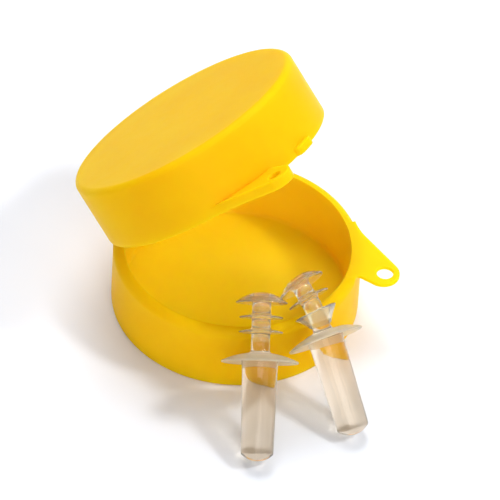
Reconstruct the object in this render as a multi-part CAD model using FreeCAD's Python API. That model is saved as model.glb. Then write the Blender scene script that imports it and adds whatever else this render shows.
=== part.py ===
"""Round hinged carry case with keyring lug, and the pair of flanged earplugs it carries.

Millimetres, +Z up.  The origin is the centre of the case's underside, the hinge is
at +Y and the mouth opens towards -Y.  The lid stands part open, and both plugs lean
on the rim with a foot on the surface that the case stands on.
"""
import FreeCAD
import Part
import math
import os

from FreeCAD import Placement, Rotation, Vector

os.makedirs("parts", exist_ok=True)

# ---------------------------------------------------------------- driving dimensions
CASE_RADIUS = 22.5
WALL = 1.9
BASE_HEIGHT = 13.75
FLOOR = 1.5
LID_HEIGHT = 12.4
LID_ROOF = 1.5
LID_OPEN_DEG = 40.7

RIM_ROUND = 1.75
FOOT_ROUND = 0.85
INSIDE_FILLET = 0.7
LID_TOP_ROUND = 1.2
LID_MOUTH_CHAMFER = 0.2

# Living hinge: a thin web behind a narrow flat on both walls.
HINGE_LINE_Y = 22.23
HINGE_FLAT_GAP = 0.15
HINGE_WIDTH = 8.2
WEB_INNER_RADIUS = 0.45
WEB_THICKNESS = 0.4

# Lug and tab: a flat teardrop, its end circle and where its sides meet the wall.
LUG_END = (9.6, -25.1)
LUG_END_RADIUS = 3.05
LUG_HOLE = (9.8, -25.4)
LUG_NEAR_ROOT_DEG = 16.8
LUG_FAR_ROOT_DEG = 46.5
LUG_NEAR_FILLET = 0.8
LUG_FAR_FILLET = 4.0
LUG_ROOT_MARGIN_DEG = 4.0
LUG_THICKNESS = 0.75
LUG_HOLE_RADIUS = 1.5
TAB_THICKNESS = 1.9
TAB_HOLE_RADIUS = 1.25

# Thumb nib near the middle of the lid's front edge.
NIB_WIDTH = 4.6
NIB_REACH = 1.0
NIB_HEIGHT = 1.6
NIB_OFFSET_X = 1.8

# Locating ring inside the lid's mouth.
SPIGOT_REACH = 0.5
SPIGOT_DEPTH = 2.4
SPIGOT_WALL = 0.8
SPIGOT_CLEARANCE = 0.15
SPIGOT_LEAD_IN = 0.3

# Earplug: stations along its axis from the foot, and radii.
STEM_FOOT_RADIUS = 2.9
STEM_TOP_RADIUS = 3.2
STEM_FOOT_ROUND = 0.45
STEM_FOOT_DOME_DEG = 46.0
STEM_LENGTH = 17.5
CORE_RADIUS = 1.68
BASE_FLANGE_STATION = 16.45
INNER_FLANGE_STATION = 21.8
MIDDLE_FLANGE_STATION = 24.4
TIP_STATION = 27.05
BASE_FLANGE_RADIUS = 6.92
INNER_FLANGE_RADIUS = 3.95
MIDDLE_FLANGE_RADIUS = 3.9
TIP_RADIUS = 4.6
TIP_DOME = 2.0

# The flanges' seam lines are turned away from the stem's, so that the two never coincide.
FLANGE_SEAM_DEG = 40.0

# Where each plug rests: foot centre, the way it leans, and how its soft upper part bends.
PLUGS = {
    "left": {
        "foot_xy": (-31.9, -26.24),
        "azimuth_deg": 33.7,
        "rise_deg": 40.4,
        "bend_deg": 0.0,
        "bend_towards_deg": 0.0,
        "flange_tilt_deg": 0.0,
    },
    "right": {
        "foot_xy": (-16.15, -36.38),
        "azimuth_deg": 61.2,
        "rise_deg": 44.2,
        "bend_deg": 20.7,
        "bend_towards_deg": 301.0,
        "flange_tilt_deg": 9.0,
    },
}

# ---------------------------------------------------------------- derived dimensions
INNER_RADIUS = CASE_RADIUS - WALL
HINGE_FLAT_Y = HINGE_LINE_Y - HINGE_FLAT_GAP
WEB_OUTER_RADIUS = WEB_INNER_RADIUS + WEB_THICKNESS
LID_TOP_Z = BASE_HEIGHT + LID_HEIGHT
HINGE_POINT = Vector(0, HINGE_LINE_Y, BASE_HEIGHT)
X_AXIS = Vector(1, 0, 0)
Z_AXIS = Vector(0, 0, 1)
ORIGIN = Vector(0, 0, 0)


# ---------------------------------------------------------------- small helpers
def at(radius, height):
    """A point of a profile in the XZ plane, before it is revolved about Z."""
    return Vector(radius, 0, height)


def corner_arc(centre, radius, start_deg, end_deg):
    """An arc in the XZ plane about centre, from one angle above +X to another."""
    def on_circle(degrees):
        angle = math.radians(degrees)
        return centre + Vector(radius * math.cos(angle), 0, radius * math.sin(angle))
    middle = (start_deg + end_deg) / 2
    return Part.Arc(on_circle(start_deg), on_circle(middle), on_circle(end_deg)).toShape()


def chain(pieces):
    """One closed face from points and edges, with straight lines filling the gaps."""
    edges = []
    last = None
    first = None
    for piece in pieces:
        if isinstance(piece, Vector):
            start, end, edge = piece, piece, None
        else:
            start = piece.valueAt(piece.FirstParameter)
            end = piece.valueAt(piece.LastParameter)
            edge = piece
        if first is None:
            first = start
        if last is not None and last.distanceToPoint(start) > 1e-6:
            edges.append(Part.LineSegment(last, start).toShape())
        if edge is not None:
            edges.append(edge)
        last = end
    if last.distanceToPoint(first) > 1e-6:
        edges.append(Part.LineSegment(last, first).toShape())
    return Part.Face(Part.Wire(Part.__sortEdges__(edges)))


def turned(pieces):
    """The solid of revolution about Z of a closed profile."""
    return chain(pieces).revolve(ORIGIN, Z_AXIS, 360)


def wall_point(degrees, radius, height=0.0):
    """A point at an azimuth measured from -Y towards +X."""
    angle = math.radians(degrees)
    return Vector(radius * math.sin(angle), -radius * math.cos(angle), height)


def save(shape, name):
    """Write one closed sub-part, as a plain solid where it is a single one."""
    clean = shape.removeSplitter()
    if clean.ShapeType == "Compound" and len(clean.Solids) == 1:
        clean = clean.Solids[0]
    assert clean.isValid(), name
    clean.exportStep("parts/" + name + ".step")
    print(name, len(clean.Solids), "solid", round(clean.Volume, 2), "mm3")
    return clean


# ---------------------------------------------------------------- the case's lower half
def hinge_flat_cutter():
    """Everything behind the flat that both walls have at the hinge."""
    return Part.makeBox(60, 10, 60, Vector(-30, HINGE_FLAT_Y, -15))


def base_cup():
    """Floor and wall in one piece, with a well rounded outer rim and a square hinge shoulder."""
    foot = corner_arc(at(CASE_RADIUS - FOOT_ROUND, FOOT_ROUND), FOOT_ROUND, -90, 0)
    rim_centre = at(CASE_RADIUS - RIM_ROUND, BASE_HEIGHT - RIM_ROUND)
    rim = corner_arc(rim_centre, RIM_ROUND, 0, 90)
    fillet_centre = at(INNER_RADIUS - INSIDE_FILLET, FLOOR + INSIDE_FILLET)
    fillet = corner_arc(fillet_centre, INSIDE_FILLET, 0, -90)
    cup = turned([at(0, 0), foot, rim, at(INNER_RADIUS, BASE_HEIGHT), fillet, at(0, FLOOR)])
    ring = Part.makeCylinder(CASE_RADIUS, RIM_ROUND, at(0, BASE_HEIGHT - RIM_ROUND))
    ring = ring.cut(Part.makeCylinder(CASE_RADIUS - RIM_ROUND, BASE_HEIGHT))
    shoulder = Part.makeBox(HINGE_WIDTH, CASE_RADIUS, BASE_HEIGHT, Vector(-HINGE_WIDTH / 2, 0, 0))
    return cup.fuse(ring.common(shoulder)).cut(hinge_flat_cutter())


def sector(start_deg, end_deg, bottom_z, height):
    """A wedge of space between two azimuths, from the case's axis out past the lug."""
    reach = 2 * CASE_RADIUS
    corners = [Vector(0, 0, bottom_z), wall_point(start_deg, reach, bottom_z)]
    corners.append(wall_point((start_deg + end_deg) / 2, reach, bottom_z))
    corners.append(wall_point(end_deg, reach, bottom_z))
    return Part.Face(Part.makePolygon(corners + corners[:1])).extrude(Z_AXIS * height)


def root_edges(shape, root, height):
    """The upright edge where one of a lug's sides meets the case's round wall."""
    found = []
    for edge in shape.Edges:
        box = edge.BoundBox
        upright = abs(box.ZLength - height) < 1e-6 and box.XLength < 1e-6
        if upright and math.hypot(box.XMin - root.x, box.YMin - root.y) < 0.05:
            found.append(edge)
    return found


def teardrop(bottom_z, thickness, hole_radius):
    """A flat lug with a hole, filleted into the round wall, together with the wall's disc."""
    middle = Vector(0, 0, bottom_z)
    end = Vector(LUG_END[0], LUG_END[1], bottom_z)
    sides = []
    for root_deg, turn in ((LUG_NEAR_ROOT_DEG, 1), (LUG_FAR_ROOT_DEG, -1)):
        root = wall_point(root_deg, CASE_RADIUS, bottom_z)
        reach = root - end
        heading = math.atan2(reach.y, reach.x) + turn * math.acos(LUG_END_RADIUS / reach.Length)
        touch = end + Vector(math.cos(heading), math.sin(heading), 0) * LUG_END_RADIUS
        sides.append((root, touch))
    (near_root, near_touch), (far_root, far_touch) = sides
    outline = [middle, near_root, near_touch, end, far_touch, far_root, middle]
    web = Part.Face(Part.makePolygon(outline)).extrude(Z_AXIS * thickness)
    knob = Part.makeCylinder(LUG_END_RADIUS, thickness, end)
    disc = Part.makeCylinder(CASE_RADIUS, thickness, middle)
    blank = disc.fuse(knob).fuse(web).removeSplitter()
    blank = blank.makeFillet(LUG_NEAR_FILLET, root_edges(blank, near_root, thickness))
    blank = blank.makeFillet(LUG_FAR_FILLET, root_edges(blank, far_root, thickness))
    hole = Vector(LUG_HOLE[0], LUG_HOLE[1], bottom_z - thickness)
    blank = blank.cut(Part.makeCylinder(hole_radius, 3 * thickness, hole))
    start_deg = LUG_NEAR_ROOT_DEG - LUG_ROOT_MARGIN_DEG
    end_deg = LUG_FAR_ROOT_DEG + LUG_ROOT_MARGIN_DEG
    return blank.common(sector(start_deg, end_deg, bottom_z, thickness))


def keyring_lug(cup):
    """Lug on the case's lower half, level with the rim, with the keyring hole."""
    plate = teardrop(BASE_HEIGHT - LUG_THICKNESS, LUG_THICKNESS, LUG_HOLE_RADIUS)
    bore = Part.makeCylinder(INNER_RADIUS + WALL / 2, BASE_HEIGHT)
    return plate.cut(bore.fuse(cup))


# ---------------------------------------------------------------- the lid, drawn closed
def lid_cap():
    """Roof and wall in one piece, with a softly rounded top edge."""
    top_centre = at(CASE_RADIUS - LID_TOP_ROUND, LID_TOP_Z - LID_TOP_ROUND)
    top = corner_arc(top_centre, LID_TOP_ROUND, 0, 90)
    roof_z = LID_TOP_Z - LID_ROOF
    fillet_centre = at(INNER_RADIUS - INSIDE_FILLET, roof_z - INSIDE_FILLET)
    fillet = corner_arc(fillet_centre, INSIDE_FILLET, 90, 0)
    mouth = [
        at(INNER_RADIUS, BASE_HEIGHT),
        at(CASE_RADIUS - LID_MOUTH_CHAMFER, BASE_HEIGHT),
        at(CASE_RADIUS, BASE_HEIGHT + LID_MOUTH_CHAMFER),
    ]
    cap = turned([at(0, roof_z), fillet] + mouth + [top, at(0, LID_TOP_Z)])
    return cap.cut(hinge_flat_cutter())


def lid_tab(cap):
    """Tab on the lid's edge, a thicker mirror image of the lug, to pull the lid open by."""
    plate = teardrop(BASE_HEIGHT, TAB_THICKNESS, TAB_HOLE_RADIUS).mirror(ORIGIN, X_AXIS)
    disc = Part.makeCylinder(INNER_RADIUS + WALL / 2, LID_HEIGHT, at(0, BASE_HEIGHT))
    return plate.cut(disc.fuse(cap))


def thumb_nib(cap):
    """Small rounded nib on the lid's front edge, lifted by a thumbnail."""
    outer = CASE_RADIUS + NIB_REACH
    block = Part.makeCylinder(outer, NIB_HEIGHT, at(0, BASE_HEIGHT))
    slot = Part.makeBox(NIB_WIDTH, outer, NIB_HEIGHT, Vector(NIB_OFFSET_X - NIB_WIDTH / 2, -outer, BASE_HEIGHT))
    nib = block.common(slot)
    tall = []
    for edge in nib.Edges:
        far_out = edge.CenterOfMass.y < -CASE_RADIUS
        if far_out and abs(edge.BoundBox.ZLength - NIB_HEIGHT) < 1e-6 and edge.BoundBox.YLength < 1e-6:
            tall.append(edge)
    nib = nib.makeFillet(NIB_REACH * 0.9, tall)
    disc = Part.makeCylinder(INNER_RADIUS + WALL / 2, LID_HEIGHT, at(0, BASE_HEIGHT))
    return nib.cut(disc.fuse(cap))


def lid_spigot():
    """Low ring inside the lid's mouth that centres it in the lower half when shut."""
    free_radius = INNER_RADIUS - SPIGOT_CLEARANCE
    inside = INNER_RADIUS - SPIGOT_WALL
    tip_z = BASE_HEIGHT - SPIGOT_REACH
    return turned([
        at(inside, BASE_HEIGHT + SPIGOT_DEPTH),
        at(inside, tip_z),
        at(free_radius - SPIGOT_LEAD_IN, tip_z),
        at(free_radius, tip_z + SPIGOT_LEAD_IN),
        at(free_radius, BASE_HEIGHT),
        at(INNER_RADIUS, BASE_HEIGHT),
        at(INNER_RADIUS, BASE_HEIGHT + SPIGOT_DEPTH - SPIGOT_WALL / 2),
    ])


def opened(shape):
    """The lid's closed shape swung back about the hinge line to its open rest position."""
    swung = shape.copy()
    swung.rotate(HINGE_POINT, X_AXIS, -LID_OPEN_DEG)
    return swung


def living_hinge(cup, cap_open):
    """Thin curved web behind the hinge line, from one wall's flat to the other's."""
    start = HINGE_POINT - X_AXIS * (HINGE_WIDTH / 2)
    tube = Part.makeCylinder(WEB_OUTER_RADIUS, HINGE_WIDTH, start, X_AXIS)
    tube = tube.cut(Part.makeCylinder(WEB_INNER_RADIUS, HINGE_WIDTH, start, X_AXIS))
    behind = Part.makeBox(60, 10, 60, Vector(-30, HINGE_FLAT_Y, BASE_HEIGHT - 30))
    behind_lid = opened(Part.makeBox(60, 10, 60, Vector(-30, HINGE_FLAT_Y, BASE_HEIGHT - 30)))
    return tube.common(behind).common(behind_lid).cut(cup).cut(cap_open)


# ---------------------------------------------------------------- the earplugs
def plug_frame(plug):
    """Foot centre, axis, and the two directions square to it, for one leaning plug."""
    azimuth = math.radians(plug["azimuth_deg"])
    rise = math.radians(plug["rise_deg"])
    forward = Vector(math.cos(azimuth), math.sin(azimuth), 0)
    axis = forward * math.cos(rise) + Z_AXIS * math.sin(rise)
    upper = Z_AXIS * math.cos(rise) - forward * math.sin(rise)
    foot_z = (STEM_FOOT_RADIUS - STEM_FOOT_ROUND) * math.cos(rise) + STEM_FOOT_ROUND
    foot_z -= STEM_FOOT_ROUND * math.sin(rise)
    foot = Vector(plug["foot_xy"][0], plug["foot_xy"][1], foot_z)
    return foot, axis, upper


def place_plug(shape, plug):
    """Move a shape from the plug's own frame (Z along its axis, Y its upper side)."""
    foot, axis, upper = plug_frame(plug)
    side = upper.cross(axis)
    placed = shape.copy()
    placed.Placement = Placement(foot, Rotation(side, upper, axis, "ZXY")).multiply(placed.Placement)
    return placed


def bend_axis(plug):
    """The line, square to the stem, about which the upper part of the plug is bent."""
    towards = math.radians(plug["bend_towards_deg"])
    return Vector(-math.sin(towards), math.cos(towards), 0)


def along_core(shape, station, plug, tilt_deg=0.0):
    """Carry a shape, drawn about the origin, to its station on the straight or bent core."""
    moved = shape.copy()
    if tilt_deg:
        moved.rotate(ORIGIN, X_AXIS, tilt_deg)
    if not plug["bend_deg"] or station <= STEM_LENGTH:
        moved.translate(Z_AXIS * station)
        return moved
    length = TIP_STATION - STEM_LENGTH
    radius = length / math.radians(plug["bend_deg"])
    turn = math.degrees((station - STEM_LENGTH) / radius)
    towards = math.radians(plug["bend_towards_deg"])
    centre = Vector(math.cos(towards), math.sin(towards), 0) * radius + Z_AXIS * STEM_LENGTH
    moved.translate(Z_AXIS * STEM_LENGTH)
    moved.rotate(centre, bend_axis(plug), turn)
    return moved


def stem():
    """Long handle, slightly thicker towards the flanges, with a domed foot and a rounded edge."""
    flat = STEM_FOOT_RADIUS - STEM_FOOT_ROUND
    slope = math.radians(STEM_FOOT_DOME_DEG)
    dome_centre = at(0, STEM_FOOT_ROUND + flat * math.tan(slope))
    dome = corner_arc(dome_centre, flat / math.cos(slope) + STEM_FOOT_ROUND, -90, -STEM_FOOT_DOME_DEG)
    edge = corner_arc(at(flat, STEM_FOOT_ROUND), STEM_FOOT_ROUND, -STEM_FOOT_DOME_DEG, 0)
    return turned([dome, edge, at(STEM_TOP_RADIUS, STEM_LENGTH), at(0, STEM_LENGTH)])


def core(plug):
    """Slim round neck that carries the flanges, bent to one side where the plug is."""
    length = TIP_STATION + TIP_DOME / 2 - STEM_LENGTH
    disc = Part.Face(Part.Wire(Part.makeCircle(CORE_RADIUS, Z_AXIS * STEM_LENGTH)))
    if not plug["bend_deg"]:
        return disc.extrude(Z_AXIS * length)
    radius = (TIP_STATION - STEM_LENGTH) / math.radians(plug["bend_deg"])
    towards = math.radians(plug["bend_towards_deg"])
    centre = Vector(math.cos(towards), math.sin(towards), 0) * radius + Z_AXIS * STEM_LENGTH
    return disc.revolve(centre, bend_axis(plug), math.degrees(length / radius))


def cap_arc(rim_radius, rim_z, crown_z, crown_first):
    """Half of a spherical cap's profile, between its rim and its crown on the axis."""
    rise = crown_z - rim_z
    radius = (rim_radius ** 2 + rise ** 2) / (2 * rise)
    rim_deg = 90 - math.degrees(math.asin(rim_radius / radius))
    centre = at(0, crown_z - radius)
    if crown_first:
        return corner_arc(centre, radius, 90, rim_deg)
    return corner_arc(centre, radius, rim_deg, 90)


def umbrella(radius, dome, root_thickness, edge_thickness):
    """A flange whose rim lies in the plane z = 0 and whose crown stands dome above it."""
    edge = edge_thickness / 2
    side = corner_arc(at(radius - edge, edge), edge, -90, 90)
    outer = cap_arc(radius - edge, edge_thickness, dome, crown_first=False)
    under = cap_arc(radius - edge, 0, dome - root_thickness, crown_first=True)
    disc = turned([side, outer, under])
    disc.rotate(ORIGIN, Z_AXIS, FLANGE_SEAM_DEG)
    return disc


def flange(radius, dome, root_thickness, edge_thickness, station, plug, inside, tilt_deg=0.0):
    """An umbrella at its station, cut where the stem and core pass through it."""
    disc = umbrella(radius, dome, root_thickness, edge_thickness)
    return along_core(disc, station, plug, tilt_deg).cut(inside)


def plug_parts(plug):
    """Every sub-part of one plug, by name, in the plug's own frame."""
    handle = stem()
    neck = core(plug)
    inside = handle.fuse(neck)
    tilt = plug["flange_tilt_deg"]
    return {
        "stem": handle,
        "core": neck,
        "base_flange": flange(BASE_FLANGE_RADIUS, 1.9, 0.95, 0.4, BASE_FLANGE_STATION, plug, inside, tilt),
        "inner_flange": flange(INNER_FLANGE_RADIUS, 0.75, 0.6, 0.3, INNER_FLANGE_STATION, plug, inside),
        "middle_flange": flange(MIDDLE_FLANGE_RADIUS, 0.75, 0.6, 0.3, MIDDLE_FLANGE_STATION, plug, inside),
        "tip": flange(TIP_RADIUS, TIP_DOME, 1.3, 0.35, TIP_STATION, plug, inside),
    }


# ---------------------------------------------------------------- build and write
cup = base_cup()
cap = lid_cap()
cap_open = opened(cap)

solids = {
    "base_cup": cup,
    "keyring_lug": keyring_lug(cup),
    "living_hinge": living_hinge(cup, cap_open),
    "lid_cap": cap_open,
    "lid_tab": opened(lid_tab(cap)),
    "thumb_nib": opened(thumb_nib(cap)),
    "lid_spigot": opened(lid_spigot()),
}
for side, plug in PLUGS.items():
    for name, shape in plug_parts(plug).items():
        solids[side + "_" + name] = place_plug(shape, plug)

for name, shape in solids.items():
    save(shape, name)
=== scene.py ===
import math

import bmesh
import bpy
from mathutils import Matrix, Vector


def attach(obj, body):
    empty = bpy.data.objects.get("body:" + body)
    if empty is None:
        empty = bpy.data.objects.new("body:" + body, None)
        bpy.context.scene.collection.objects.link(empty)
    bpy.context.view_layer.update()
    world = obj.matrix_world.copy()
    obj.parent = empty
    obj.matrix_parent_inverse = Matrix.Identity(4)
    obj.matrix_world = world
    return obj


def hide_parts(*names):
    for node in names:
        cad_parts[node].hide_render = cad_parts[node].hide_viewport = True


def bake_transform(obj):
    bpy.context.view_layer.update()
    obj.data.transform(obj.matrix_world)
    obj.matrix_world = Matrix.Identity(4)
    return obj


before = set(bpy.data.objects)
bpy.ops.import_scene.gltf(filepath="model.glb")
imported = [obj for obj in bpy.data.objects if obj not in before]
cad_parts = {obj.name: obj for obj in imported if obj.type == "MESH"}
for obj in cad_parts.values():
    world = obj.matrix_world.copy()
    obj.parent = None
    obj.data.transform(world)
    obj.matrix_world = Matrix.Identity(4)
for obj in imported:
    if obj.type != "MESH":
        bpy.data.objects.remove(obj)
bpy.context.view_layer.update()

MM = 0.001

# ------------------------------------------------------------ dimensions, in millimetres
CASE_RADIUS = 22.5
WALL = 1.9
INNER_RADIUS = CASE_RADIUS - WALL
BASE_HEIGHT = 13.75
LID_HEIGHT = 12.4
FLOOR = 1.5
LID_TOP_Z = BASE_HEIGHT + LID_HEIGHT
LID_ROOF_Z = LID_TOP_Z - FLOOR
LID_OPEN_DEG = 40.7
RIM_ROUND = 1.75
PLATE_ROUND = 0.14
LIP_ROUND = 0.12
FOOT_ROUND = 0.85
INSIDE_FILLET = 0.7
LID_TOP_ROUND = 1.2
LID_MOUTH_ROUND = 0.3
CENTRE_DISC_RADIUS = 12
HINGE_LINE_Y = 22.23
HINGE_FLAT_Y = 22.08
HINGE_WIDTH = 8.2
HINGE_MIDDLE_RADIUS = 0.65
HINGE_HALF_THICKNESS = 0.2

LUG_END = (9.6, -25.1)
LUG_END_RADIUS = 3.05
LUG_HOLE = (9.8, -25.4)
LUG_NEAR_ROOT_DEG = 16.8
LUG_FAR_ROOT_DEG = 46.5
LUG_NEAR_FILLET = 0.9
LUG_FAR_FILLET = 2.2
LUG_INSIDE_RADIUS = 21.0
LUG_THICKNESS = 0.75
LUG_HOLE_RADIUS = 1.5
TAB_THICKNESS = 1.9
TAB_HOLE_RADIUS = 1.25
NIB_START_DEG = -1.3
NIB_END_DEG = 10.5
NIB_REACH = 1.0
NIB_HEIGHT = 1.6
NIB_ROUND = 0.25

SPIGOT_OUTER = 20.45
SPIGOT_INNER = 19.8
SPIGOT_TIP_Z = 13.25
SPIGOT_TOP_Z = 16.15
SPIGOT_CHAMFER = 0.3
SPIGOT_FADE = 0.4

STEM_LENGTH = 17.5
STEM_SKIN_TOP = 17.0
STEM_FOOT_RADIUS = 2.9
STEM_TOP_RADIUS = 3.2
STEM_FOOT_ROUND = 0.45
STEM_FOOT_DOME_DEG = 46
CORE_RADIUS = 1.68
# Each flange: its rim's place along the plug, radius, dome, thickness at the root and at the rim.
BASE_FLANGE = (16.45, 6.92, 1.9, 0.95, 0.4)
INNER_FLANGE = (21.8, 3.95, 0.75, 0.6, 0.3)
MIDDLE_FLANGE = (24.4, 3.9, 0.75, 0.6, 0.3)
TIP = (27.05, 4.6, 2.0, 1.3, 0.35)
TIP_STATION = TIP[0]
# Only the widest flange tilts: points between these places along the plug, fading in outwards.
TILT_FROM, TILT_TO = 16.0, 19.0
TILT_FADE = (2.6, 4.2)
# The right plug's inner flange is pushed up: from this place at the neck to this at its rim.
PUSHED_UP_ROOT = 19.8
PUSHED_UP_RIM = 21.9
PUSHED_UP_ROOT_HALF = 0.34
PUSHED_UP_RIM_HALF = 0.15
# How each plug leans: where its foot stands, the heading and rise of its axis, the bend of its
# upper part, the way that bend leads, and how far its widest flange is tilted.
PLUGS = {
    "left": {
        "foot_xy": (-31.9, -26.24),
        "azimuth_deg": 33.7,
        "rise_deg": 40.4,
        "bend_deg": 0.0,
        "towards_deg": 0.0,
        "tilt_deg": 0.0,
    },
    "right": {
        "foot_xy": (-16.15, -36.38),
        "azimuth_deg": 61.2,
        "rise_deg": 44.2,
        "bend_deg": 20.7,
        "towards_deg": 301.0,
        "tilt_deg": 9.0,
    },
}

# ------------------------------------------------------------ the camera, placed in millimetres
CAMERA_PLACE = (-638.68, -392.67, 759.43)
CAMERA_AZIMUTH_DEG = -148.59
CAMERA_ELEVATION_DEG = 44.892
CAMERA_ROLL_DEG = 3.56
CAMERA_LENS = 421.6


# ------------------------------------------------------------ small helpers
def arc(radius, height, size, start_deg, end_deg, steps):
    """Points of a profile's corner, as (radius, height) pairs."""
    points = []
    for step in range(steps + 1):
        angle = math.radians(start_deg + (end_deg - start_deg) * step / steps)
        points.append((radius + size * math.cos(angle), height + size * math.sin(angle)))
    return points


def smooth(value, low, high):
    """0 below low, 1 above high, and a smooth step between."""
    t = min(max((value - low) / (high - low), 0), 1)
    return t * t * (3 - 2 * t)


def wall_point(degrees, radius):
    """A point at an azimuth measured from -Y towards +X."""
    angle = math.radians(degrees)
    return Vector((radius * math.sin(angle), -radius * math.cos(angle)))


def new_object(name, bm):
    """Turn a bmesh in millimetres into an object in metres."""
    bmesh.ops.recalc_face_normals(bm, faces=bm.faces)
    bmesh.ops.scale(bm, vec=(MM, MM, MM), verts=bm.verts)
    mesh = bpy.data.meshes.new(name)
    bm.to_mesh(mesh)
    bm.free()
    piece = bpy.data.objects.new(name, mesh)
    bpy.context.scene.collection.objects.link(piece)
    return piece


def zone_at(step, zones):
    """The material slot of a profile step: 0, or one more than the place of its zone."""
    for number, zone in enumerate(zones):
        if step in zone:
            return number + 1
    return 0


def lathe(name, profile_at, segments, place=None, zones=()):
    """A closed skin round Z. profile_at(degrees) gives (radius, height) pairs from axis to axis.

    The UV map runs round the piece and along its profile. Each zone is a range of profile steps
    that takes the next material after the first.
    """
    bm = bmesh.new()
    uv = bm.loops.layers.uv.new("round_and_along")
    start, *_, end = profile_at(0)
    poles = [bm.verts.new((0, 0, start[1])), bm.verts.new((0, 0, end[1]))]
    rings = []
    for index in range(segments):
        degrees = 360 * index / segments
        direction = wall_point(degrees, 1)
        ring = []
        for radius, height in profile_at(degrees)[1:-1]:
            ring.append(bm.verts.new((direction.x * radius, direction.y * radius, height)))
        rings.append(ring)
    for index, ring in enumerate(rings):
        following = rings[(index + 1) % segments]
        bm.faces.new((poles[0], ring[0], following[0]))
        last = bm.faces.new((poles[1], following[-1], ring[-1]))
        last.material_index = zone_at(len(ring), zones)
        for step in range(len(ring) - 1):
            face = bm.faces.new((ring[step], ring[step + 1], following[step + 1], following[step]))
            face.material_index = zone_at(step + 1, zones)
            corners = [(index, step), (index, step + 1), (index + 1, step + 1), (index + 1, step)]
            for loop, (around, along) in zip(face.loops, corners):
                loop[uv].uv = (around / segments, along / len(ring))
    if place:
        for vert in bm.verts:
            vert.co = place(vert.co)
    return new_object(name, bm)


def prism(name, outline, bottom_z, top_z, edge_round):
    """A flat plate with that outline, its edges softly rounded."""
    bm = bmesh.new()
    base = bm.faces.new([bm.verts.new((p.x, p.y, bottom_z)) for p in outline])
    raised = bmesh.ops.extrude_face_region(bm, geom=[base])["geom"]
    for element in raised:
        if isinstance(element, bmesh.types.BMVert):
            element.co.z = top_z
    bmesh.ops.recalc_face_normals(bm, faces=bm.faces)
    level = []
    for edge in bm.edges:
        if abs(edge.verts[0].co.z - edge.verts[1].co.z) < 1e-6:
            level.append(edge)
    bmesh.ops.bevel(bm, geom=level, offset=edge_round, segments=3, profile=0.5, affect="EDGES")
    return new_object(name, bm)


def boolean(piece, other, operation):
    """Join other to piece, or cut it away, and drop other."""
    modifier = piece.modifiers.new("join", "BOOLEAN")
    modifier.operation = operation
    modifier.solver = "EXACT"
    modifier.object = other
    bpy.context.view_layer.update()
    graph = bpy.context.evaluated_depsgraph_get()
    mesh = bpy.data.meshes.new_from_object(piece.evaluated_get(graph))
    piece.modifiers.remove(modifier)
    piece.data = mesh
    bpy.data.objects.remove(other)


def finish_surface(piece, materials, sharp_deg):
    """Smooth shading that stays crisp at sharp corners and true on flat faces."""
    for polygon in piece.data.polygons:
        polygon.use_smooth = True
    piece.data.set_sharp_from_angle(angle=math.radians(sharp_deg))
    weighted = piece.modifiers.new("true_normals", "WEIGHTED_NORMAL")
    weighted.keep_sharp = True
    slots = [polygon.material_index for polygon in piece.data.polygons]
    piece.data.materials.clear()
    for material in materials:
        piece.data.materials.append(material)
    piece.data.polygons.foreach_set("material_index", slots)


# ------------------------------------------------------------ materials
def add_nodes(material):
    """The node tree, its shader and its links."""
    material.use_nodes = True
    tree = material.node_tree
    return tree.nodes, tree.nodes["Principled BSDF"], tree.links


def noise(nodes, links, coords, scale, detail):
    """A noise texture in object space, scale in features per metre."""
    texture = nodes.new("ShaderNodeTexNoise")
    texture.inputs["Scale"].default_value = scale
    texture.inputs["Detail"].default_value = detail
    links.new(coords.outputs["Object"], texture.inputs["Vector"])
    return texture


def ramp(nodes, links, source, stops):
    """A colour ramp over source, from (position, colour) stops."""
    node = nodes.new("ShaderNodeValToRGB")
    elements = node.color_ramp.elements
    elements[0].position, elements[0].color = stops[0]
    elements[1].position, elements[1].color = stops[-1]
    for position, colour in stops[1:-1]:
        element = elements.new(position)
        element.color = colour
    links.new(source, node.inputs["Fac"])
    return node


def map_range(nodes, links, source, low, high):
    """Source, from 0 to 1, spread between low and high."""
    node = nodes.new("ShaderNodeMapRange")
    node.inputs["To Min"].default_value = low
    node.inputs["To Max"].default_value = high
    links.new(source, node.inputs["Value"])
    return node


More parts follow.
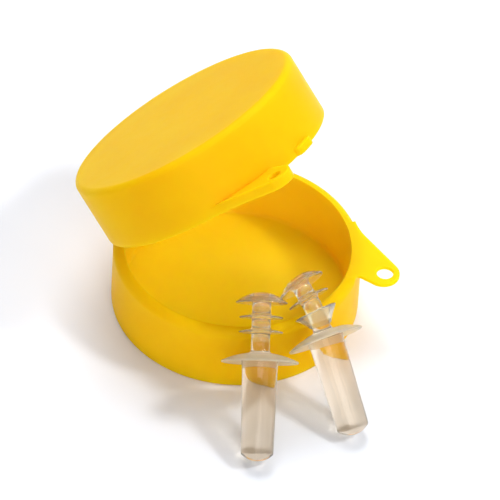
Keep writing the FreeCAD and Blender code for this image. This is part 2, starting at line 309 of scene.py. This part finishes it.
def yellow_polyethylene(name, green, blue, depth):
    """Soft waxy yellow with fine specks and an uneven sheen. Light goes in by about the depth."""
    material = bpy.data.materials.new(name)
    nodes, shader, links = add_nodes(material)
    coords = nodes.new("ShaderNodeTexCoord")
    cloud = noise(nodes, links, coords, 90, 3)
    tone = ramp(nodes, links, cloud.outputs["Fac"], [
        (0.30, (0.95, green - 0.02, blue, 1)),
        (0.50, (0.96, green, blue, 1)),
        (0.72, (0.97, green + 0.02, blue * 1.2, 1)),
    ])
    specks = nodes.new("ShaderNodeTexVoronoi")
    specks.inputs["Scale"].default_value = 95
    links.new(coords.outputs["Object"], specks.inputs["Vector"])
    dots = ramp(nodes, links, specks.outputs["Distance"], [
        (0.008, (0.62, 0.55, 0.50, 1)),
        (0.018, (1, 1, 1, 1)),
    ])
    tint = nodes.new("ShaderNodeMix")
    tint.data_type = "RGBA"
    tint.blend_type = "MULTIPLY"
    tint.inputs["Factor"].default_value = 1.0
    links.new(tone.outputs["Color"], tint.inputs["A"])
    links.new(dots.outputs["Color"], tint.inputs["B"])
    links.new(tint.outputs["Result"], shader.inputs["Base Color"])
    grain = noise(nodes, links, coords, 420, 4)
    gloss = map_range(nodes, links, grain.outputs["Fac"], 0.30, 0.46)
    links.new(gloss.outputs["Result"], shader.inputs["Roughness"])
    fine = noise(nodes, links, coords, 1500, 5)
    bump = nodes.new("ShaderNodeBump")
    bump.inputs["Strength"].default_value = 0.12
    bump.inputs["Distance"].default_value = 0.00004
    links.new(fine.outputs["Fac"], bump.inputs["Height"])
    links.new(bump.outputs["Normal"], shader.inputs["Normal"])
    shader.inputs["Subsurface Weight"].default_value = 0.85
    shader.inputs["Subsurface Radius"].default_value = (1.0, 0.8, 0.12)
    shader.inputs["Subsurface Scale"].default_value = depth
    shader.inputs["Specular IOR Level"].default_value = 0.02
    shader.inputs["IOR"].default_value = 1.51
    return material


def clear_silicone(name, rough_low, rough_high, colour, transmission):
    """Clear moulded silicone, glossy or frosted, with faint flow marks and draw lines along it."""
    material = bpy.data.materials.new(name)
    nodes, shader, links = add_nodes(material)
    coords = nodes.new("ShaderNodeTexCoord")
    flow = noise(nodes, links, coords, 260, 3)
    gloss = map_range(nodes, links, flow.outputs["Fac"], rough_low, rough_high)
    links.new(gloss.outputs["Result"], shader.inputs["Roughness"])
    tone = ramp(nodes, links, flow.outputs["Fac"], [
        (0.25, (colour[0] * 0.96, colour[1] * 0.95, colour[2] * 0.93, 1)),
        (0.75, (colour[0], colour[1], colour[2], 1)),
    ])
    links.new(tone.outputs["Color"], shader.inputs["Base Color"])
    stretch = nodes.new("ShaderNodeMapping")
    stretch.inputs["Scale"].default_value = (70, 3, 1)
    links.new(coords.outputs["UV"], stretch.inputs["Vector"])
    lines = nodes.new("ShaderNodeTexNoise")
    lines.inputs["Scale"].default_value = 1.0
    lines.inputs["Detail"].default_value = 2
    links.new(stretch.outputs["Vector"], lines.inputs["Vector"])
    bump = nodes.new("ShaderNodeBump")
    bump.inputs["Strength"].default_value = 0.35
    bump.inputs["Distance"].default_value = 0.00005
    links.new(lines.outputs["Fac"], bump.inputs["Height"])
    links.new(bump.outputs["Normal"], shader.inputs["Normal"])
    shader.inputs["Transmission Weight"].default_value = transmission
    shader.inputs["IOR"].default_value = 1.41
    return material


yellow = yellow_polyethylene("yellow_polyethylene", 0.50, 0.004, 0.005)
# The inside faces take a paler, brighter copy of the yellow: painted light, standing in for light
# that glows through the walls into the hollow.
painted_glow_yellow = yellow_polyethylene("yellow_polyethylene_inside_painted_glow", 0.65, 0.012, 0.002)
thin_yellow = yellow_polyethylene("yellow_polyethylene_web", 0.52, 0.004, 0.0003)
clear = clear_silicone("clear_silicone", 0.03, 0.08, (0.87, 0.775, 0.645), 0.98)
frosted = clear_silicone("frosted_silicone", 0.30, 0.42, (1.0, 0.94, 0.78), 0.80)
satin = clear_silicone("satin_silicone", 0.10, 0.20, (1.0, 0.98, 0.86), 0.91)


# ------------------------------------------------------------ the case
def at_hinge(points, degrees):
    """Cut a profile back to the flat that both walls have behind the hinge line."""
    behind = -math.cos(math.radians(degrees))
    if behind <= 0:
        return points
    limit = HINGE_FLAT_Y / behind
    return [(min(radius, limit), height) for radius, height in points]


def rim_round(degrees):
    """The outer rim's rounding: full, but square beside the lug and at the hinge."""
    beside_lug = smooth(degrees, LUG_NEAR_ROOT_DEG - 4.5, LUG_NEAR_ROOT_DEG - 2.0)
    beside_lug *= 1 - smooth(degrees, LUG_FAR_ROOT_DEG - 3.0, LUG_FAR_ROOT_DEG + 3.0)
    at_back = 1 - smooth(abs(degrees - 180), 10.5, 13.0)
    square = max(beside_lug, at_back)
    return RIM_ROUND + (PLATE_ROUND - RIM_ROUND) * square


def inside_steps(profile_at):
    """The profile's steps from the mouth's inner corner to its last point."""
    points = profile_at(0)
    outside = 0
    for step, (radius, height) in enumerate(points):
        if radius > INNER_RADIUS + LIP_ROUND + 0.01:
            outside = step
    return range(outside + 1, len(points))


def base_profile(degrees):
    """Outside of the lower half from the underside's centre, over the rim, to the floor's centre."""
    rim = rim_round(degrees)
    points = [(0, 0), (CENTRE_DISC_RADIUS, 0)]
    points += arc(CASE_RADIUS - FOOT_ROUND, FOOT_ROUND, FOOT_ROUND, -90, 0, 8)
    points += arc(CASE_RADIUS - rim, BASE_HEIGHT - rim, rim, 0, 90, 14)
    points += arc(INNER_RADIUS + LIP_ROUND, BASE_HEIGHT - LIP_ROUND, LIP_ROUND, 90, 180, 3)
    points += arc(INNER_RADIUS - INSIDE_FILLET, FLOOR + INSIDE_FILLET, INSIDE_FILLET, 0, -90, 7)
    points += [(CENTRE_DISC_RADIUS, FLOOR), (0, FLOOR)]
    return at_hinge(points, degrees)


def lid_profile(degrees):
    """The lid, drawn closed, from the top's centre, round the mouth, to the roof's centre."""
    points = [(0, LID_TOP_Z), (CENTRE_DISC_RADIUS, LID_TOP_Z)]
    points += arc(CASE_RADIUS - LID_TOP_ROUND, LID_TOP_Z - LID_TOP_ROUND, LID_TOP_ROUND, 90, 0, 10)
    mouth = LID_MOUTH_ROUND
    points += arc(CASE_RADIUS - mouth, BASE_HEIGHT + mouth, mouth, 0, -90, 5)
    points += [(SPIGOT_OUTER, BASE_HEIGHT), (SPIGOT_OUTER, SPIGOT_TIP_Z + SPIGOT_CHAMFER)]
    points += [(SPIGOT_OUTER - SPIGOT_CHAMFER, SPIGOT_TIP_Z), (SPIGOT_INNER, SPIGOT_TIP_Z)]
    points += [(SPIGOT_INNER, SPIGOT_TOP_Z), (INNER_RADIUS, SPIGOT_TOP_Z - SPIGOT_FADE)]
    points += arc(INNER_RADIUS - INSIDE_FILLET, LID_ROOF_Z - INSIDE_FILLET, INSIDE_FILLET, 0, 90, 7)
    points += [(CENTRE_DISC_RADIUS, LID_ROOF_Z), (0, LID_ROOF_Z)]
    return at_hinge(points, degrees)


def curve_round(start, corner, end, steps):
    """A smooth concave corner between two points, as a quadratic curve."""
    points = []
    for step in range(steps + 1):
        t = step / steps
        points.append(start * (1 - t) ** 2 + corner * (2 * t * (1 - t)) + end * t ** 2)
    return points


def lug_side(root_deg, turn, fillet):
    """One side of the lug: the filleted root on the wall, and the touch point on its end circle."""
    end = Vector(LUG_END)
    root = wall_point(root_deg, CASE_RADIUS)
    reach = root - end
    heading = math.atan2(reach.y, reach.x) + turn * math.acos(LUG_END_RADIUS / reach.length)
    touch = end + Vector((math.cos(heading), math.sin(heading))) * LUG_END_RADIUS
    along_wall_deg = root_deg - turn * math.degrees(fillet / CASE_RADIUS)
    on_line = root + (touch - root).normalized() * fillet
    on_wall = wall_point(along_wall_deg, CASE_RADIUS)
    return along_wall_deg, curve_round(on_wall, root, on_line, 8), heading


def lug_outline():
    """The lug's flat outline, from inside the wall, round the end and back."""
    near_deg, near_curve, near_heading = lug_side(LUG_NEAR_ROOT_DEG, 1, LUG_NEAR_FILLET)
    far_deg, far_curve, far_heading = lug_side(LUG_FAR_ROOT_DEG, -1, LUG_FAR_FILLET)
    outline = [wall_point(near_deg, LUG_INSIDE_RADIUS)] + near_curve
    sweep = (far_heading - near_heading) % (2 * math.pi)
    for step in range(33):
        angle = near_heading + sweep * step / 32
        around = Vector((math.cos(angle), math.sin(angle))) * LUG_END_RADIUS
        outline.append(Vector(LUG_END) + around)
    outline += list(reversed(far_curve))
    for step in range(9):
        degrees = far_deg + (near_deg - far_deg) * step / 9
        outline.append(wall_point(degrees, LUG_INSIDE_RADIUS))
    return outline


def lug_plate(name, bottom_z, thickness, hole_radius, mirrored):
    """A lug with its hole, whose lips are slightly rounded."""
    top_z = bottom_z + thickness
    side = -1 if mirrored else 1
    outline = [Vector((p.x * side, p.y)) for p in lug_outline()]
    plate = prism(name, outline, bottom_z, top_z, PLATE_ROUND)
    lip = hole_radius + PLATE_ROUND

    def hole_profile(degrees):
        points = [(0, bottom_z - 1), (lip, bottom_z - 1), (lip, bottom_z)]
        points += [(hole_radius + 0.04, bottom_z + 0.04), (hole_radius, bottom_z + PLATE_ROUND)]
        points += [(hole_radius, top_z - PLATE_ROUND), (hole_radius + 0.04, top_z - 0.04)]
        return points + [(lip, top_z), (lip, top_z + 1), (0, top_z + 1)]

    def move(point):
        return point + Vector((LUG_HOLE[0] * side, LUG_HOLE[1], 0))

    boolean(plate, lathe("hole", hole_profile, 48, move), "DIFFERENCE")
    return plate


def thumb_nib():
    """The nib's outline follows the wall and stands out from it, with rounded ends."""
    outline = []
    for step in range(13):
        t = step / 12
        degrees = NIB_START_DEG + (NIB_END_DEG - NIB_START_DEG) * t
        ends = min(t, 1 - t) * 12 / 3
        proud = NIB_REACH * math.sqrt(max(0, 1 - (1 - min(ends, 1)) ** 2))
        outline.append(wall_point(degrees, CASE_RADIUS + proud))
    outline.append(wall_point(NIB_END_DEG, LUG_INSIDE_RADIUS))
    outline.append(wall_point(NIB_START_DEG, LUG_INSIDE_RADIUS))
    return prism("nib", outline, BASE_HEIGHT, BASE_HEIGHT + NIB_HEIGHT, NIB_ROUND)


def hinge_strip():
    """The thin web, bent round the hinge line from one wall's flat to the other's."""
    bm = bmesh.new()
    start_deg, end_deg = -108, 108 - LID_OPEN_DEG
    steps = 26
    rows = []
    half = HINGE_WIDTH / 2
    thick = HINGE_HALF_THICKNESS
    section = [(-half, 0), (-half + 0.1, thick), (half - 0.1, thick)]
    section += [(half, 0), (half - 0.1, -thick), (-half + 0.1, -thick)]
    for step in range(steps + 1):
        angle = math.radians(start_deg + (end_deg - start_deg) * step / steps)
        row = []
        for across, out in section:
            radius = HINGE_MIDDLE_RADIUS + out
            y = HINGE_LINE_Y + radius * math.cos(angle)
            row.append(bm.verts.new((across, y, BASE_HEIGHT + radius * math.sin(angle))))
        rows.append(row)
    count = len(section)
    for row, following in zip(rows, rows[1:]):
        for index in range(count):
            other = (index + 1) % count
            bm.faces.new((row[index], row[other], following[other], following[index]))
    bm.faces.new(rows[0])
    bm.faces.new(rows[-1])
    return new_object("hinge_web", bm)


opening = Matrix.Rotation(math.radians(-LID_OPEN_DEG), 4, "X")
hinge_point = Vector((0, HINGE_LINE_Y * MM, BASE_HEIGHT * MM))
open_lid = Matrix.Translation(hinge_point) @ opening @ Matrix.Translation(-hinge_point)

# From the mouth's inner corner on, the faces take the yellow with painted glow.
base = lathe("case_base", base_profile, 360, zones=[inside_steps(base_profile)])
lug = lug_plate("lug", BASE_HEIGHT - LUG_THICKNESS, LUG_THICKNESS, LUG_HOLE_RADIUS, False)
boolean(base, lug, "UNION")
finish_surface(base, [yellow, painted_glow_yellow], 32)
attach(base, "base")
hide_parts("base_cup", "keyring_lug")

# From the mouth's inner corner on, the lid's faces take the yellow with painted glow.
lid = lathe("case_lid", lid_profile, 360, zones=[inside_steps(lid_profile)])
tab = lug_plate("tab", BASE_HEIGHT, TAB_THICKNESS, TAB_HOLE_RADIUS, True)
boolean(lid, tab, "UNION")
boolean(lid, thumb_nib(), "UNION")
lid.data.transform(open_lid)
finish_surface(lid, [yellow, painted_glow_yellow], 32)
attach(lid, "lid")
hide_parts("lid_cap", "lid_tab", "thumb_nib", "lid_spigot")

web = hinge_strip()
finish_surface(web, [thin_yellow], 50)
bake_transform(web)
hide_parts("living_hinge")


# ------------------------------------------------------------ the earplugs
def cap(radius, rim_radius, rise):
    """Height below the crown of a spherical cap that drops by rise at rim_radius."""
    size = (rim_radius ** 2 + rise ** 2) / (2 * rise)
    return size - math.sqrt(size ** 2 - radius ** 2)


def flange_points(flange, inner_from, inner_to, steps):
    """One flange's profile: underside out from inner_from, round the edge, back in to inner_to."""
    station, radius, dome, root, edge = flange
    half = edge / 2
    rim = radius - half
    under = dome - root
    points = []
    for step in range(steps + 1):
        r = inner_from + (rim - inner_from) * step / steps
        points.append((r, station + under - cap(r, rim, under)))
    points += arc(rim, station + half, half, -60, 60, 4)
    for step in range(steps + 1):
        r = rim + (inner_to - rim) * step / steps
        points.append((r, station + dome - cap(r, rim, dome - edge)))
    return points


def stem_points():
    """The stem's profile: the domed foot with its rounded edge, then the slight taper."""
    corner = STEM_FOOT_ROUND
    flat = STEM_FOOT_RADIUS - corner
    slope = math.radians(STEM_FOOT_DOME_DEG)
    dome_radius = flat / math.cos(slope) + corner
    points = arc(0, corner + flat * math.tan(slope), dome_radius, -90, -STEM_FOOT_DOME_DEG, 8)[:-1]
    points += arc(flat, corner, corner, -STEM_FOOT_DOME_DEG, 0, 5)
    for step in range(1, 9):
        t = step / 9
        taper = STEM_FOOT_RADIUS + (STEM_TOP_RADIUS - STEM_FOOT_RADIUS) * t
        points.append((taper, corner + (STEM_SKIN_TOP - corner) * t))
    return points


def base_flange_points():
    """The widest flange's profile."""
    return flange_points(BASE_FLANGE, STEM_TOP_RADIUS + 0.15, CORE_RADIUS + 0.5, 9)


def pushed_up_points():
    """A small flange that the case's rim has pushed up, so that it opens towards the tip."""
    radius = INNER_FLANGE[1]
    inner = CORE_RADIUS + 0.2
    steps = 7
    under, over = [], []
    for step in range(steps + 1):
        t = step / steps
        r = inner + (radius - PUSHED_UP_RIM_HALF - inner) * t
        middle = PUSHED_UP_ROOT + (PUSHED_UP_RIM - PUSHED_UP_ROOT) * t ** 0.8
        half = PUSHED_UP_ROOT_HALF + (PUSHED_UP_RIM_HALF - PUSHED_UP_ROOT_HALF) * t
        under.append((r + half * 0.5, middle - half))
        over.append((r - half * 0.5, middle + half))
    return under + [(radius, PUSHED_UP_RIM)] + over[::-1]


def inner_flange_points(pushed_up):
    """The neck above the widest flange, and the first small flange."""
    points = [(CORE_RADIUS + 0.12, 18.42), (CORE_RADIUS, 18.8)]
    if pushed_up:
        points += [(CORE_RADIUS, 19.2)]
        return points + pushed_up_points() + [(CORE_RADIUS, 20.7)]
    points += [(CORE_RADIUS, 20.2), (CORE_RADIUS, 21.5)]
    points += flange_points(INNER_FLANGE, CORE_RADIUS + 0.25, CORE_RADIUS + 0.3, 5)
    return points


def outer_flange_points():
    """The neck's upper part with the second small flange and the tip, up to the crown."""
    points = [(CORE_RADIUS, 22.8), (CORE_RADIUS, 24.1)]
    points += flange_points(MIDDLE_FLANGE, CORE_RADIUS + 0.25, CORE_RADIUS + 0.3, 5)
    points += [(CORE_RADIUS, 25.4), (CORE_RADIUS, 27.2)]
    points += flange_points(TIP, CORE_RADIUS + 0.3, 0.0, 10)
    return points


def plug_placer(foot_xy, azimuth_deg, rise_deg, bend_deg, towards_deg, tilt_deg):
    """A function that carries a point from the plug's own frame to where the plug leans."""
    azimuth = math.radians(azimuth_deg)
    rise = math.radians(rise_deg)
    forward = Vector((math.cos(azimuth), math.sin(azimuth), 0))
    up = Vector((0, 0, 1))
    axis = forward * math.cos(rise) + up * math.sin(rise)
    upper = up * math.cos(rise) - forward * math.sin(rise)
    side = upper.cross(axis)
    foot_z = (STEM_FOOT_RADIUS - STEM_FOOT_ROUND) * math.cos(rise) + STEM_FOOT_ROUND
    foot_z -= STEM_FOOT_ROUND * math.sin(rise)
    foot = Vector((foot_xy[0], foot_xy[1], foot_z))
    towards = math.radians(towards_deg)
    bend_to = Vector((math.cos(towards), math.sin(towards), 0))
    bend_about = Vector((-math.sin(towards), math.cos(towards), 0))
    length = TIP_STATION - STEM_LENGTH
    slope = math.sin(math.radians(tilt_deg))

    def place(point):
        local = point.copy()
        reach = math.hypot(local.x, local.y)
        if tilt_deg and TILT_FROM < local.z < TILT_TO:
            local.z += local.y * slope * smooth(reach, *TILT_FADE)
        over = local.z - STEM_LENGTH
        if bend_deg and over > 0:
            radius = length / math.radians(bend_deg)
            turn = Matrix.Rotation(over / radius, 3, bend_about)
            centre = bend_to * radius
            flat = Vector((local.x, local.y, 0))
            local = turn @ (flat - centre) + centre + Vector((0, 0, STEM_LENGTH))
        return foot + side * local.x + upper * local.y + axis * local.z

    return place


def make_plug(name, pushed_up, settings):
    """One earplug as a single continuous skin: clear stem, frosted widest flange, satin above."""
    stem, widest = stem_points(), base_flange_points()
    upper = inner_flange_points(pushed_up) + outer_flange_points()
    frosted_from = len(stem)
    satin_from = frosted_from + len(widest)
    satin_to = satin_from + len(upper)
    # The neck just above the widest flange stays clear.
    zones = [range(frosted_from, satin_from), range(satin_from + 2, satin_to)]
    profile = stem + widest + upper
    plug = lathe(name, lambda degrees: profile, 128, plug_placer(**settings), zones)
    finish_surface(plug, [clear, frosted, satin], 40)
    return plug


for name, settings in PLUGS.items():
    plug = make_plug(name + "_earplug", name == "right", settings)
    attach(plug, name + "_plug")
    nodes_replaced = []
    for part in ("stem", "core", "base_flange", "inner_flange", "middle_flange", "tip"):
        nodes_replaced.append(name + "_" + part)
    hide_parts(*nodes_replaced)


# ------------------------------------------------------------ floor, light and camera
def floor():
    """A wide pale floor, its colour painted darker away from the middle: a painted falloff of light.
    """
    bm = bmesh.new()
    corners = [(-1500, -1500), (1500, -1500), (1500, 1500), (-1500, 1500)]
    bm.faces.new([bm.verts.new((x, y, 0)) for x, y in corners])
    plane = new_object("floor", bm)
    material = bpy.data.materials.new("floor")
    nodes, shader, links = add_nodes(material)
    coords = nodes.new("ShaderNodeTexCoord")
    cloud = noise(nodes, links, coords, 3, 2)
    tone = ramp(nodes, links, cloud.outputs["Fac"], [
        (0.3, (0.86, 0.895, 0.965, 1)),
        (0.7, (0.88, 0.915, 0.985, 1)),
    ])
    reach = nodes.new("ShaderNodeVectorMath")
    reach.operation = "LENGTH"
    links.new(coords.outputs["Object"], reach.inputs[0])
    # Painted falloff of light: the colour is full out to 95 mm from the middle, then darkens to 0.6
    # of it at 240 mm.
    far = nodes.new("ShaderNodeMapRange")
    far.inputs["From Min"].default_value = 0.095
    far.inputs["From Max"].default_value = 0.24
    far.inputs["To Min"].default_value = 1.0
    far.inputs["To Max"].default_value = 0.6
    links.new(reach.outputs["Value"], far.inputs["Value"])
    painted_falloff_colour = nodes.new("ShaderNodeVectorMath")
    painted_falloff_colour.operation = "SCALE"
    links.new(tone.outputs["Color"], painted_falloff_colour.inputs["Vector"])
    links.new(far.outputs["Result"], painted_falloff_colour.inputs["Scale"])
    links.new(painted_falloff_colour.outputs["Vector"], shader.inputs["Base Color"])
    shader.inputs["Roughness"].default_value = 0.8
    plane.data.materials.append(material)


def area_light(name, towards, distance, size, power):
    """A square soft box, pointing at the object."""
    data = bpy.data.lights.new(name, "AREA")
    data.shape = "SQUARE"
    data.size = size
    data.energy = power
    lamp = bpy.data.objects.new(name, data)
    bpy.context.scene.collection.objects.link(lamp)
    direction = Vector(towards).normalized()
    lamp.location = direction * distance
    lamp.rotation_euler = direction.to_track_quat("Z", "Y").to_euler()


def studio_world():
    """A dim, even room that is brighter near the horizon."""
    world = bpy.data.worlds.new("studio")
    bpy.context.scene.world = world
    world.use_nodes = True
    nodes = world.node_tree.nodes
    links = world.node_tree.links
    coords = nodes.new("ShaderNodeTexCoord")
    height = nodes.new("ShaderNodeSeparateXYZ")
    links.new(coords.outputs["Generated"], height.inputs["Vector"])
    sky = ramp(nodes, links, height.outputs["Z"], [
        (0.0, (1.0, 0.98, 0.96, 1)),
        (0.28, (0.95, 0.94, 0.93, 1)),
        (0.45, (0.40, 0.40, 0.40, 1)),
    ])
    background = nodes["Background"]
    background.inputs["Strength"].default_value = 0.42
    links.new(sky.outputs["Color"], background.inputs["Color"])
    bpy.context.scene.view_settings.view_transform = "Standard"


def place_camera():
    """A long lens, looking down at the case from its front left."""
    data = bpy.data.cameras.new("camera")
    data.lens = CAMERA_LENS
    data.sensor_width = 36
    camera = bpy.data.objects.new("camera", data)
    bpy.context.scene.collection.objects.link(camera)
    bpy.context.scene.camera = camera
    turned = Matrix.Rotation(math.radians(90 + CAMERA_AZIMUTH_DEG), 4, "Z")
    turned @= Matrix.Rotation(math.radians(90 - CAMERA_ELEVATION_DEG), 4, "X")
    turned @= Matrix.Rotation(math.radians(CAMERA_ROLL_DEG), 4, "Z")
    camera.matrix_world = Matrix.Translation(Vector(CAMERA_PLACE) * MM) @ turned


floor()
area_light("key", (0.26, -0.59, 0.77), 0.9, 0.15, 3.2)
area_light("back_right", (0.35, 0.35, 0.87), 1.0, 0.6, 7.3)
area_light("front_left", (-0.68, -0.50, 0.54), 1.0, 0.6, 4.0)
area_light("front_right", (0.0, -0.74, 0.67), 1.0, 0.6, 1.2)
studio_world()
place_camera()
